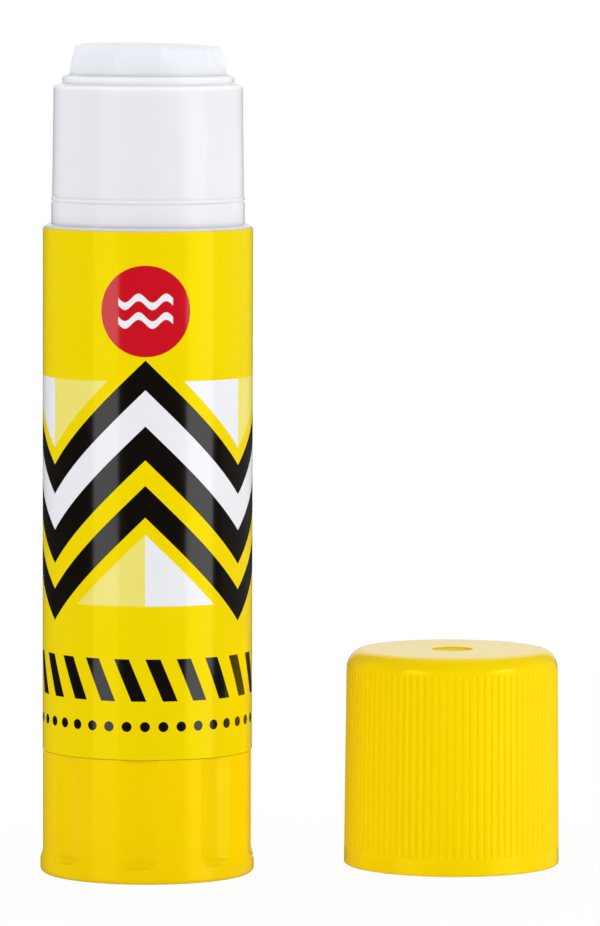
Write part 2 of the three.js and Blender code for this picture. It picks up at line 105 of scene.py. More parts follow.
class Paint:
    """The nodes of one material or of the world."""

    def __init__(self, owner):
        owner.use_nodes = True
        self.owner = owner
        self.tree = owner.node_tree
        self.tree.nodes.clear()

    def add(self, kind, settings=None, sockets=None):
        """A new node: its settings first, then what its sockets are given or linked to."""
        node = self.tree.nodes.new(kind)
        for name, value in (settings or {}).items():
            setattr(node, name, value)
        for key, value in (sockets or {}).items():
            if isinstance(value, Value):
                value = value.socket
            if isinstance(value, bpy.types.NodeSocket):
                self.tree.links.new(value, node.inputs[key])
            else:
                node.inputs[key].default_value = value
        return node

    def number(self, operation, *values):
        node = self.add("ShaderNodeMath", {"operation": operation}, dict(enumerate(values)))
        return Value(self, node.outputs[0])

    def smooth(self, value, low, high):
        """0 below low and 1 above high, turning softly between them."""
        node = self.add(
            "ShaderNodeMapRange",
            {"interpolation_type": "SMOOTHSTEP"},
            {"Value": value, "From Min": low, "From Max": high},
        )
        return Value(self, node.outputs["Result"])

    def mix(self, share, first, second):
        """The first colour where share is 0, and the second where it is 1."""
        node = self.add("ShaderNodeMix", {"data_type": "RGBA"}, {0: share, 6: first, 7: second})
        return node.outputs[2]

    def noise(self, size, detail=2.0, vector=None):
        """Cloudy noise from 0 to 1, whose clouds are about size mm across."""
        where = vector or self.place()
        sockets = {"Vector": where, "Scale": 1 / (size * MM), "Detail": detail, "Roughness": 0.55}
        node = self.add("ShaderNodeTexNoise", None, sockets)
        return Value(self, node.outputs["Fac"])

    def place(self):
        return self.add("ShaderNodeTexCoord").outputs["Object"]

    def stretched(self, x, y, z):
        node = self.add("ShaderNodeMapping", None, {"Vector": self.place(), "Scale": (x, y, z)})
        return node.outputs["Vector"]

    def axis(self, name, vector=None):
        node = self.add("ShaderNodeSeparateXYZ", None, {"Vector": vector or self.place()})
        return Value(self, node.outputs[name])

    def bump(self, height, depth, strength):
        """Normals for a relief whose height goes from 0 to 1 over depth mm."""
        node = self.add(
            "ShaderNodeBump", None, {"Strength": strength, "Distance": depth * MM, "Height": height}
        )
        return node.outputs["Normal"]

    def shader(self, **sockets):
        """A Principled shader. Underscores in the sockets' names stand for spaces."""
        named = {key.replace("_", " "): value for key, value in sockets.items()}
        return self.add("ShaderNodeBsdfPrincipled", None, named).outputs[0]

    def surface(self, **sockets):
        """The Principled shader that ends the material."""
        return self.finished(self.shader(**sockets))

    def finished(self, shader):
        self.add("ShaderNodeOutputMaterial", None, {"Surface": shader})
        return self.owner


def material(name):
    return Paint(bpy.data.materials.new(name))


# The room: white to the camera, and to what mirrors the side behind the stick; dim in front of it.
# FILL is what lights matt surfaces, and GLOSS is what shiny ones mirror. Each pair says where one
# brightness begins and ends its turn into the next, as parts of a direction of length 1.
FRONT_FILL = 0.36
SIDE_FILL = 0.69
BACK_FILL = 0.64
FILL_TURN = (-0.5, 0.5)
SIDES_IN_FILL = 0.5
BACK_FILL_TURN = (0.0, 0.7)
ROUND_GLOSS = 0.03
RIGHT_GLOSS = 0.12
RIGHT_EDGE = (-0.04, 0.06)
RIGHT_TURN = (0.2, 0.6)
BACK_GLOSS = 0.9
BACK_TURN = (0.0, 0.3)
BACK_SIDES = (0.15, 0.42)
HORIZON = (-0.02, 0.06)

room = Paint(bpy.data.worlds.new("studio_room"))
bpy.context.scene.world = room.owner
ray = room.add("ShaderNodeLightPath").outputs
direction = room.add("ShaderNodeTexCoord").outputs["Generated"]
to_back = room.axis("Y", direction)
to_right = room.axis("X", direction)
upward = room.axis("Z", direction)
beside = abs(to_right)
behind = room.smooth(to_back, *BACK_TURN) * (1 - room.smooth(beside, *BACK_SIDES))
behind = behind * room.smooth(upward, *HORIZON)
from_right = room.smooth(to_back, *RIGHT_EDGE) * room.smooth(to_right, *RIGHT_TURN)
mirrored = ROUND_GLOSS + (RIGHT_GLOSS - ROUND_GLOSS) * from_right
mirrored = mirrored + (BACK_GLOSS - ROUND_GLOSS) * behind
sideways = room.smooth(to_back + SIDES_IN_FILL * beside, *FILL_TURN)
fill = FRONT_FILL + (SIDE_FILL - FRONT_FILL) * sideways
fill = fill + BACK_FILL * room.smooth(to_back, *BACK_FILL_TURN)
is_glossy = Value(room, ray["Is Glossy Ray"])
is_mirrored = room.number("MAXIMUM", is_glossy, Value(room, ray["Is Transmission Ray"]))
seen = Value(room, ray["Is Camera Ray"])
strength = seen + (1 - seen) * (is_mirrored * mirrored + (1 - is_mirrored) * fill)
backdrop = room.add("ShaderNodeBackground", None, {"Color": (1, 1, 1, 1), "Strength": strength})
room.add("ShaderNodeOutputWorld", None, {"Surface": backdrop.outputs[0]})

# The floor: pale and matt, with a faint soft shadow round the two items. It is clear from below.
FLOOR_DROP = 0.02
FLOOR_HALF = 3000
FLOOR_SHADE = (0.95, 0.95, 0.95, 1)
FLOOR_WHITE = (1, 1, 1, 1)
SHADOW_MIDDLE = 15
SHADOW_REACH = 70
SHADOW_CORE = SHADOW_REACH / 3
SHADOW_DEPTH = 0.06

floor_paint = material("pale_floor")
ray = floor_paint.add("ShaderNodeLightPath").outputs
x = floor_paint.axis("X") / MM - SHADOW_MIDDLE
y = floor_paint.axis("Y") / MM
away = floor_paint.number("SQRT", x * x + y * y)
plain = floor_paint.smooth(away, SHADOW_CORE, SHADOW_REACH)
lit = floor_paint.add("ShaderNodeBsdfDiffuse", None, {"Color": FLOOR_SHADE}).outputs[0]
glow = floor_paint.add("ShaderNodeEmission", None, {"Color": FLOOR_WHITE, "Strength": 1})
share = Value(floor_paint, ray["Is Camera Ray"]) * (1 - SHADOW_DEPTH * (1 - plain))
top = floor_paint.add("ShaderNodeMixShader", None, {0: share, 1: lit, 2: glow.outputs[0]})
underneath = floor_paint.add("ShaderNodeNewGeometry").outputs["Backfacing"]
clear = floor_paint.add("ShaderNodeBsdfTransparent").outputs[0]
whole = floor_paint.add("ShaderNodeMixShader", None, {0: underneath, 1: top.outputs[0], 2: clear})
floor_mesh = bpy.data.meshes.new("floor")
corners = [
    (across * FLOOR_HALF * MM, along * FLOOR_HALF * MM, -FLOOR_DROP * MM)
    for across, along in ((-1, -1), (1, -1), (1, 1), (-1, 1))
]
floor_mesh.from_pydata(corners, [], [(0, 1, 2, 3)])
floor_mesh.materials.append(floor_paint.finished(whole.outputs[0]))
floor = bpy.data.objects.new("floor", floor_mesh)
floor.visible_glossy = False
floor.visible_shadow = False
bpy.context.scene.collection.objects.link(floor)


# The lamps: two tall soft ones that leave upright bands, and two low wide ones higher up.
LAMP_TARGET = (10, 0, 40)
TALL = {"elevation": -5, "distance": 600, "height": 800}
HIGH = {"elevation": 28, "distance": 590, "height": 120, "brightness": 5.2}


def soft_lamp(name, bearing, elevation, distance, width, height, brightness):
    """A rectangular lamp turned to the stick. Bearing is in degrees to the right of the viewer."""
    target = Vector(LAMP_TARGET) * MM
    across, up = math.radians(bearing), math.radians(elevation)
    away = Vector((math.sin(across) * math.cos(up), -math.cos(across) * math.cos(up), math.sin(up)))
    data = bpy.data.lights.new(name, "AREA")
    data.shape = "RECTANGLE"
    data.size = width * MM
    data.size_y = height * MM
    data.energy = brightness * width * height * MM * MM * math.pi
    lamp = bpy.data.objects.new(name, data)
    lamp.location = target + away * distance * MM
    lamp.rotation_euler = away.to_track_quat("Z", "Y").to_euler()
    lamp.visible_camera = False
    bpy.context.scene.collection.objects.link(lamp)


soft_lamp("left_lamp", bearing=-46, width=310, brightness=1.66, **TALL)
soft_lamp("right_lamp", bearing=60, width=360, brightness=1.97, **TALL)
soft_lamp("left_top_lamp", bearing=-42, width=230, **HIGH)
soft_lamp("right_top_lamp", bearing=61, width=330, **HIGH)


# Knob
# The turning dial at the foot, moulded in yellow polypropylene with eight shallow finger grips over
# a flared foot. It snaps on the end of the spindle, and its rim turns under the barrel's edge.
KNOB_TOP = 11.84
KNOB_RADIUS = 10.02
KNOB_INNER_RADIUS = 8.88
KNOB_FLOOR = 1.4
FOOT_RADIUS = 10.21
FOOT_EDGE = 0.5
FOOT_FLARE = (1.15, 2.4)
FLARE_STEPS = 25
KNOB_LIP = 0.14
KNOB_CHAMFER = 0.1
GRIP_COUNT = 8
GRIP_HALF_WIDTH = 1.825
GRIP_DEPTH = 0.38
GRIP_FOOT = (1.5, 2.4)
GRIP_TURN = -2.8
HUB_RADIUS = 4.35
HUB_TOP = 4.35
SOCKET_RADIUS = 2.65
SOCKET_FLOOR = 1.42
BEAD_GROOVE = (2.35, 3.35)
BEAD_GROOVE_RADIUS = 2.55
STIFFENER_TOP = 3.35
STIFFENER_TURN = 15
STIFFENER_HALF_DEGREES = 3.1
SIX_SIDED_TURN = 60
UNDERSIDE_GROOVE = (4.6, 7.8)
UNDERSIDE_GROOVE_DEPTH = 0.5
KNOB_COLUMNS = 240
GRIP_EDGE_COLUMNS = (-0.5, -0.2, 0.0, 0.2, 0.5)
CLEAR_OF_EDGE = 0.8
WALL_HEIGHTS = (2.5, 7.0, KNOB_TOP - 0.2)
KNOB_YELLOW = (0.835, 0.575, 0.001, 1)
KNOB_YELLOW_THIN = (0.855, 0.605, 0.001, 1)
YELLOW_GLOSS = (0.85, 0.75, 0.02, 1)
YELLOW_ROUGHNESS = 0.14


def arc(radius, height, across, up, start, end, steps):
    """Points [radius, height] on part of an ellipse, from one angle to another in degrees."""
    angles = [math.radians(start + (end - start) * i / steps) for i in range(steps + 1)]
    return [(radius + across * math.cos(a), height + up * math.sin(a)) for a in angles]


def rounded(radius, height, edge, steps):
    """An outer top edge, rounded over."""
    return arc(radius - edge, height - edge, edge, edge, 0, 90, steps)


def inner_rounded(radius, height, edge, steps):
    """An inner top edge, rounded over."""
    return arc(radius + edge, height - edge, -edge, edge, 90, 0, steps)


def held(outline, reach=0.05):
    """The outline with a point near each end of its straights, so that flat faces shade flat."""
    points = [outline[0]]
    for (r0, h0), (r1, h1) in zip(outline, outline[1:]):
        length = math.hypot(r1 - r0, h1 - h0)
        for part in (reach / length, 1 - reach / length) if length > 4 * reach else ():
            points.append((r0 + (r1 - r0) * part, h0 + (h1 - h0) * part))
        points.append((r1, h1))
    return points


def stitch(mesh, low, high):
    """Faces between two rows of points, which may have different numbers of points."""
    if len(low) == len(high):
        for i in range(len(low) - 1):
            mesh.faces.new((low[i], low[i + 1], high[i + 1], high[i]))
        return
    i = j = 0
    while i < len(low) - 1 or j < len(high) - 1:
        low_next = (i + 1) / max(len(low) - 1, 1)
        high_next = (j + 1) / max(len(high) - 1, 1)
        if j == len(high) - 1 or (i < len(low) - 1 and low_next <= high_next):
            mesh.faces.new((low[i], low[i + 1], high[j]))
            i += 1
        else:
            mesh.faces.new((low[i], high[j + 1], high[j]))
            j += 1


def turned(outline, angles, form, closed=False):
    """A body turned about the axis. The outline runs out along the bottom, up the outside and back
    in. The angles are degrees to the right of the front, and form may move a point in or out."""
    mesh = bmesh.new()
    rows = []
    for radius, height in outline:
        row = []
        for angle in angles if radius else [0]:
            r, h = form(angle, radius, height) if radius else (radius, height)
            a = math.radians(angle - 90)
            row.append(mesh.verts.new((r * math.cos(a) * MM, r * math.sin(a) * MM, h * MM)))
        rows.append(row + row[:1] if radius else row)
    for low, high in zip(rows, rows[1:] + rows[:1] if closed else rows[1:]):
        stitch(mesh, low, high)
    return mesh


def whole_turn(columns):
    return [360 * i / columns for i in range(columns)]


def show(mesh, name, body, node, finish, crease=32):
    """Makes the finished mesh a piece that rides on its body and stands for its CAD node."""
    data = bpy.data.meshes.new(name)
    mesh.to_mesh(data)
    mesh.free()
    data.shade_smooth()
    data.set_sharp_from_angle(angle=math.radians(crease))
    data.materials.append(finish)
    piece = bpy.data.objects.new(name, data)
    bpy.context.scene.collection.objects.link(piece)
    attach(piece, body)
    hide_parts(node)


def ease(value, low, high):
    """0 below low and 1 above high, turning softly between them, as Paint.smooth does."""
    t = min(max((value - low) / (high - low), 0), 1)
    return t * t * (3 - 2 * t)


def yellow_plastic(name, thick, paler_tone_and_painted_rim_light, painted_shade_mask=None, painted_shade_colour=None):
    """Glossy moulded polypropylene: a faint flow mottle, a fine skin and rougher patches from
    handling.
    Narrow valleys may take a darker colour: painted shade, standing in for the light lost as it is
    thrown from side to side in them."""
    paint = material(name)
    mottle = paint.noise(size=9, detail=3)
    flow = paint.noise(size=1.1, vector=paint.stretched(1, 1, 0.12))
    skin = paint.noise(size=0.22)
    wear_and_rim_light = paint.smooth(paint.noise(size=5), 0.3, 0.9)
    colour = paint.mix(0.65 * mottle + 0.25 * flow, thick, paler_tone_and_painted_rim_light)
    # Painted shade: a darker colour along narrow valleys.
    if painted_shade_mask:
        colour = paint.mix(painted_shade_mask(paint), colour, painted_shade_colour)
    return paint.surface(
        Base_Color=colour,
        Roughness=YELLOW_ROUGHNESS + 0.03 * wear_and_rim_light + 0.02 * flow,
        Normal=paint.bump(skin + 0.6 * flow, depth=0.003, strength=0.25),
        IOR=1.49,
        Specular_Tint=YELLOW_GLOSS,
        Subsurface_Weight=0.12,
        Subsurface_Radius=(1.0, 0.9, 0.08),
        Subsurface_Scale=0.0012,
    )


# A grip is the mark of a round cutter that is as wide as the grip where it leaves the wall.
grip_hollow = GRIP_DEPTH - (KNOB_RADIUS - math.sqrt(KNOB_RADIUS**2 - GRIP_HALF_WIDTH**2))
grip_radius = (GRIP_HALF_WIDTH**2 + grip_hollow**2) / (2 * grip_hollow)
grip_middle = KNOB_RADIUS - GRIP_DEPTH + grip_radius


def grip_reach(angle, height):
    """How far from the axis the hollow of the nearest grip begins, in this direction."""
    pitch = 360 / GRIP_COUNT
    off = math.radians((angle - GRIP_TURN + pitch / 2) % pitch - pitch / 2)
    aside = grip_middle * math.sin(off)
    cutter = grip_radius - GRIP_DEPTH * (1 - ease(height, *GRIP_FOOT))
    return grip_middle * math.cos(off) - math.sqrt(max(cutter * cutter - aside * aside, 0))


def knob_angles():
    """Even angles round the knob, with close ones where a grip's edge is rounded over."""
    half = math.degrees(math.asin(GRIP_HALF_WIDTH / KNOB_RADIUS))
    middles = [GRIP_TURN + 360 * k / GRIP_COUNT for k in range(GRIP_COUNT)]
    edges = [middle + side for middle in middles for side in (-half, half)]

    def from_edge(angle):
        return min(abs((angle - edge + 180) % 360 - 180) for edge in edges)

    near = [(edge + step) % 360 for edge in edges for step in GRIP_EDGE_COLUMNS]
    plain = [angle for angle in whole_turn(KNOB_COLUMNS) if from_edge(angle) > CLEAR_OF_EDGE]
    return sorted(plain + near)


def knob_form(angle, radius, height):
    """The finger grips outside, and the six-sided socket and stiffeners inside."""
    if radius > KNOB_INNER_RADIUS + 0.3 and height > GRIP_FOOT[0]:
        return radius - max(max(radius, KNOB_RADIUS) - grip_reach(angle, height), 0), height
    if radius < SOCKET_RADIUS + 0.01 and height > SOCKET_FLOOR:
        off = math.radians(angle % SIX_SIDED_TURN - SIX_SIDED_TURN / 2)
        side = SOCKET_RADIUS * math.cos(math.pi / 6) / math.cos(off)
        in_groove = BEAD_GROOVE[0] < height < BEAD_GROOVE[1]
        return max(side, BEAD_GROOVE_RADIUS) if in_groove else side, height
    if HUB_RADIUS + 0.05 < radius < KNOB_INNER_RADIUS - 0.05 and height == KNOB_FLOOR:
        near = abs((angle - STIFFENER_TURN) % SIX_SIDED_TURN - SIX_SIDED_TURN / 2)
        return radius, STIFFENER_TOP if near < STIFFENER_HALF_DEGREES else height
    return radius, height


knob_outline = held(
    [
        (0, 0),
        (UNDERSIDE_GROOVE[0] - KNOB_CHAMFER, 0),
        (UNDERSIDE_GROOVE[0], KNOB_CHAMFER),
        (UNDERSIDE_GROOVE[0], UNDERSIDE_GROOVE_DEPTH),
        (UNDERSIDE_GROOVE[1], UNDERSIDE_GROOVE_DEPTH),
        (UNDERSIDE_GROOVE[1], KNOB_CHAMFER),
        (UNDERSIDE_GROOVE[1] + KNOB_CHAMFER, 0),
        *arc(FOOT_RADIUS - FOOT_EDGE, FOOT_EDGE, FOOT_EDGE, FOOT_EDGE, -90, 0, 8),
        (FOOT_RADIUS, FOOT_FLARE[0]),
    ]
)
for step in range(1, FLARE_STEPS + 1):
    up = FOOT_FLARE[0] + (FOOT_FLARE[1] - FOOT_FLARE[0]) * step / FLARE_STEPS
    knob_outline.append((FOOT_RADIUS + (KNOB_RADIUS - FOOT_RADIUS) * ease(up, *FOOT_FLARE), up))
knob_outline += [(KNOB_RADIUS, height) for height in WALL_HEIGHTS]
knob_outline += held(
    [
        *rounded(KNOB_RADIUS, KNOB_TOP, KNOB_LIP, 5),
        *inner_rounded(KNOB_INNER_RADIUS, KNOB_TOP, KNOB_CHAMFER, 3),
        (KNOB_INNER_RADIUS, KNOB_FLOOR),
        (KNOB_INNER_RADIUS - 0.06, KNOB_FLOOR),
    ]
)[1:]
knob_outline += [
    (KNOB_INNER_RADIUS - KNOB_CHAMFER, KNOB_FLOOR),
    (HUB_RADIUS + KNOB_CHAMFER, KNOB_FLOOR),
    (HUB_RADIUS, KNOB_FLOOR),
    (HUB_RADIUS, HUB_TOP - KNOB_CHAMFER),
    (HUB_RADIUS - KNOB_CHAMFER, HUB_TOP),
    (SOCKET_RADIUS, HUB_TOP),
    (SOCKET_RADIUS, BEAD_GROOVE[1]),
    (SOCKET_RADIUS, BEAD_GROOVE[1] - 0.05),
    (SOCKET_RADIUS, BEAD_GROOVE[0] + 0.05),
    (SOCKET_RADIUS, BEAD_GROOVE[0]),
    (SOCKET_RADIUS, SOCKET_FLOOR + 0.01),
    (0, SOCKET_FLOOR),
]
knob_plastic = yellow_plastic("knob_plastic", KNOB_YELLOW, KNOB_YELLOW_THIN)
knob_mesh = turned(knob_outline, knob_angles(), knob_form)
show(knob_mesh, "knob_dial", "knob", "knob", knob_plastic)


# Spindle
# The screw in the middle of the stick, in natural polypropylene. Its six-sided end is pressed into
# the knob, and its thread lifts the carrier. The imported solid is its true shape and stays.
WHITE = (0.755, 0.755, 0.795, 1)
WHITE_DEEP = (0.70, 0.70, 0.745, 1)
# Painted light on the narrow rim: its lighter colour, and the height where the colour turns to it.
WHITE_RIM_PAINTED_LIGHT = (0.90, 0.905, 0.945, 1)
WHITE_RIM_LIGHT_FROM = 74.95
WHITE_RIM_LIGHT_TURN = 0.2


def white_plastic():
    """Natural polypropylene: milky, with faint clouds, upright drag lines and a satin skin. From the
    neck's top rounding up, the colour is painted lighter: painted light on the narrow rim, standing
    in for light that passes through its wall and lifting the shade at its foot."""
    paint = material("white_plastic")
    # Painted light: the colour turns lighter from the neck's top rounding up, lifting the shade on
    # the narrow rim.
    paler_tone_and_painted_rim_light = paint.smooth(paint.axis("Z") / MM, WHITE_RIM_LIGHT_FROM - WHITE_RIM_LIGHT_TURN, WHITE_RIM_LIGHT_FROM + WHITE_RIM_LIGHT_TURN)
    cloud = paint.noise(size=7, detail=3)
    drag = paint.noise(size=0.8, vector=paint.stretched(1, 1, 0.05))
    skin = paint.noise(size=0.3)
    colour = paint.mix(0.45 * cloud + 0.2 * drag, WHITE, WHITE_DEEP)
    colour = paint.mix(paler_tone_and_painted_rim_light, colour, WHITE_RIM_PAINTED_LIGHT)
    return paint.surface(
        Base_Color=colour,
        Roughness=0.12 + 0.07 * cloud + 0.03 * drag,
        Normal=paint.bump(0.7 * drag + 0.5 * skin, depth=0.005, strength=0.6),
        IOR=1.37,
        Subsurface_Weight=0.8,
        Subsurface_Radius=(1.0, 1.0, 1.0),
        Subsurface_Scale=0.0012,
    )


def dress(node, finish):
    """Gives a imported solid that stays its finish."""
    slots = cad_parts[node].data.materials
    for i in range(len(slots)):
        slots[i] = finish
    if not len(slots):
        slots.append(finish)


white = white_plastic()
dress("spindle", white)


# Barrel
# The tube that holds everything, one moulding in natural polypropylene: body, shoulder, snap
# collar, drafted neck and thin rim, with a web and four keys inside. The knob turns on its spigot.
SPIGOT_FOOT = 3.55
SPIGOT_RADIUS = 8.68
SPIGOT_CHAMFER = 0.2
WEB = (4.55, 5.95)
WEB_BORE = 2.95
WEB_CHAMFER = 0.1
SKIRT_FOOT = 11.9
SKIRT_CHAMFER = 0.06
BARREL_RADIUS = 9.85
SHOULDER_TOP = 61.95
SHOULDER_ROUND = 0.3
COLLAR_RADIUS = 9.205
COLLAR_TOP = 64.6
COLLAR_ROUND = 0.09
COLLAR_FILLET = 0.05
GROOVE_MIDDLE = 64.2
GROOVE_DEPTH = 0.14
GROOVE_LIP = (0.05, 0.1)
NECK_TOP_RADIUS = 8.985
NECK_TOP = 75.22
NECK_ROUND = 0.3
RIM_RADIUS = 8.15
RIM_TOP = 76.1
RIM_ROUND = 0.24
BORE_RADIUS = 7.55
BORE_ROUND = 0.08
KEY_TOP = 70.05
KEY_RADIUS = 7.0
KEY_HALF_WIDTH = 0.6
SIDE_COLUMNS = 192
SIDE_STEP = 0.04
CLEAR_OF_SIDE = 0.4


def keyed_angles(half_width, radius):
    """Even angles round the axis, with a pair at each side of the four keys or grooves."""
    half = math.degrees(math.asin(half_width / radius))
    offsets = [side * (half + step) for side in (-1, 1) for step in (-SIDE_STEP, SIDE_STEP)]
    sides = [45 + 90 * k + offset for k in range(4) for offset in offsets]

    def from_side(angle):
        return min(abs(angle - side) for side in sides)

    plain = [angle for angle in whole_turn(SIDE_COLUMNS) if from_side(angle) > CLEAR_OF_SIDE]
    return sorted(plain + sides)


def between_sides(angle, half_width, radius):
    off = abs((angle % 90) - 45)
    return off < math.degrees(math.asin(half_width / radius))


def barrel_form(angle, radius, height):
    """The keys stand in from the bore."""
    keyed = radius == BORE_RADIUS and WEB[1] <= height <= KEY_TOP
    if keyed and between_sides(angle, KEY_HALF_WIDTH, KEY_RADIUS):
        return KEY_RADIUS, height
    return radius, height


barrel_outline = held(
    [
        (BORE_RADIUS + WEB_CHAMFER, SPIGOT_FOOT),
        (SPIGOT_RADIUS - SPIGOT_CHAMFER, SPIGOT_FOOT),
        (SPIGOT_RADIUS, SPIGOT_FOOT + SPIGOT_CHAMFER),
        (SPIGOT_RADIUS, SKIRT_FOOT),
        (BARREL_RADIUS - SKIRT_CHAMFER, SKIRT_FOOT),
        (BARREL_RADIUS, SKIRT_FOOT + SKIRT_CHAMFER),
        *rounded(BARREL_RADIUS, SHOULDER_TOP, SHOULDER_ROUND, 7),
        (COLLAR_RADIUS + COLLAR_FILLET, SHOULDER_TOP),
        (COLLAR_RADIUS, SHOULDER_TOP + COLLAR_FILLET),
        (COLLAR_RADIUS, GROOVE_MIDDLE - GROOVE_DEPTH),
        (COLLAR_RADIUS - GROOVE_LIP[0], GROOVE_MIDDLE - GROOVE_LIP[1]),
        (COLLAR_RADIUS - GROOVE_DEPTH, GROOVE_MIDDLE),
        (COLLAR_RADIUS - GROOVE_LIP[0], GROOVE_MIDDLE + GROOVE_LIP[1]),
        (COLLAR_RADIUS, GROOVE_MIDDLE + GROOVE_DEPTH),
        *rounded(COLLAR_RADIUS, COLLAR_TOP, COLLAR_ROUND, 4),
        *rounded(NECK_TOP_RADIUS, NECK_TOP, NECK_ROUND, 7),
        *arc(RIM_RADIUS + NECK_ROUND, NECK_TOP + NECK_ROUND, NECK_ROUND, NECK_ROUND, -90, -180, 6),
        *rounded(RIM_RADIUS, RIM_TOP, RIM_ROUND, 6),
        *inner_rounded(BORE_RADIUS, RIM_TOP, BORE_ROUND, 3),
        (BORE_RADIUS, KEY_TOP + 0.02),
        (BORE_RADIUS, KEY_TOP),
        (BORE_RADIUS, WEB[1]),
    ],
    reach=0.04,
)
barrel_outline += [
    (KEY_RADIUS - WEB_CHAMFER, WEB[1]),
    (WEB_BORE + WEB_CHAMFER, WEB[1]),
    (WEB_BORE, WEB[1] - WEB_CHAMFER),
    (WEB_BORE, WEB[0] + WEB_CHAMFER),
    (WEB_BORE + WEB_CHAMFER, WEB[0]),
    (BORE_RADIUS - 0.05, WEB[0]),
    (BORE_RADIUS, WEB[0] - 0.001),
    (BORE_RADIUS, SPIGOT_FOOT + WEB_CHAMFER),
]
barrel_angles = keyed_angles(KEY_HALF_WIDTH, KEY_RADIUS)
barrel_mesh = turned(barrel_outline, barrel_angles, barrel_form, closed=True)
show(barrel_mesh, "barrel_moulding", "barrel", "barrel", white)


# Label
# One strip of glossy printed film, wrapped once round the barrel and lapped over itself at the
# back. The print repeats three times: a red disc with two wavy lines over zigzag bands, with
# triangles in their corners, and a row of slanted bars over a row of dots.
LABEL_FOOT = 11.86
LABEL_TOP = 61.65
LABEL_INNER_RADIUS = 9.9
LABEL_THICKNESS = 0.1
LAP_RISE = 0.15
LAP_DEGREES = 22.5
RAMP_DEGREES = 15
LABEL_STEP = 1.5
FILM_EDGE = 0.02
FILM_MARGIN = 0.2
PRINT_YELLOW = (0.85, 0.655, 0.001, 1)
PRINT_YELLOW_DEEP = (0.83, 0.635, 0.001, 1)
PRINT_PALE = (0.83, 0.735, 0.17, 1)
PRINT_WHITE = (0.80, 0.81, 0.86, 1)
PRINT_RED = (0.56, 0.003, 0.012, 1)
PRINT_BLACK = (0.004, 0.0025, 0.0015, 1)
REPEATS = 3
PRINT_SOFTNESS = 0.05
MIDLINE_SOFTNESS = 0.04
ZIGZAG_RISE = 10.2
BLACK_BAND = (24.6, 39.4)
WHITE_BAND = (33.2, 36.6)
YELLOW_BAND = (27.6, 30.0)
ABOVE_ZIGZAG = (41.0, 60.0)
UPPER_TRIANGLES = (30.0, 47.6)
BELOW_ZIGZAG = (8.0, 23.0)
LOWER_TRIANGLES = (26.4, 60.0)
DISC_HEIGHT = 54.2
DISC_RADIUS = 4.3
RIPPLES = ((54.75, 55.45), (53.0, 53.7))
RIPPLE_RISE = 0.42
RIPPLE_LENGTH = 2.6
BARS_IN_REPEAT = 7
BAR_SLANT = 0.42
BAR_HALF_WIDTH = 0.72
BAR_HEIGHTS = (17.4, 21.4)
DOTS_IN_REPEAT = 12
DOT_HEIGHT = 15.0
DOT_RADIUS = 0.48


def label_mesh():
    """The film as a closed spiral wall, with its unrolled place in millimetres as its UV map."""
    mesh = bmesh.new()
    flat = mesh.loops.layers.uv.new("print")
    rise = LABEL_TOP - LABEL_FOOT
    low = [0, FILM_EDGE, FILM_MARGIN]
    parts = [*low, 0.5 * rise, *[rise - part for part in reversed(low)]]
    heights = [LABEL_FOOT + part for part in parts]
    stations = []
    count = round((360 + LAP_DEGREES) / LABEL_STEP)
    for i in range(count + 1):
        turn = i * LABEL_STEP
        climbed = min(max((turn - (360 - RAMP_DEGREES)) / RAMP_DEGREES, 0), 1)
        inner = LABEL_INNER_RADIUS + LAP_RISE * climbed
        outer = inner + LABEL_THICKNESS
        a = math.radians(90 + turn)
        ring = [(outer - (0 if heights[0] < h < heights[-1] else FILM_EDGE), h) for h in heights]
        ring += [(inner, h) for h in reversed(heights)]
        points = [
            mesh.verts.new((r * math.cos(a) * MM, r * math.sin(a) * MM, h * MM)) for r, h in ring
        ]
        along = math.radians(turn - 180) * (LABEL_INNER_RADIUS + LABEL_THICKNESS)
        stations.append((points, along, [h for _, h in ring]))
    for (first, u0, hs), (second, u1, _) in zip(stations, stations[1:]):
        for k in range(len(first)):
            n = (k + 1) % len(first)
            face = mesh.faces.new((first[k], second[k], second[n], first[n]))
            for loop, uv in zip(face.loops, ((u0, hs[k]), (u1, hs[k]), (u1, hs[n]), (u0, hs[n]))):
                loop[flat].uv = uv
    for (points, along, hs), flip in ((stations[0], False), (stations[-1], True)):
        ring = list(zip(points, hs))
        face = mesh.faces.new([p for p, _ in (reversed(ring) if flip else ring)])
        for loop in face.loops:
            loop[flat].uv = (along, loop.vert.co.z / MM)
    return mesh


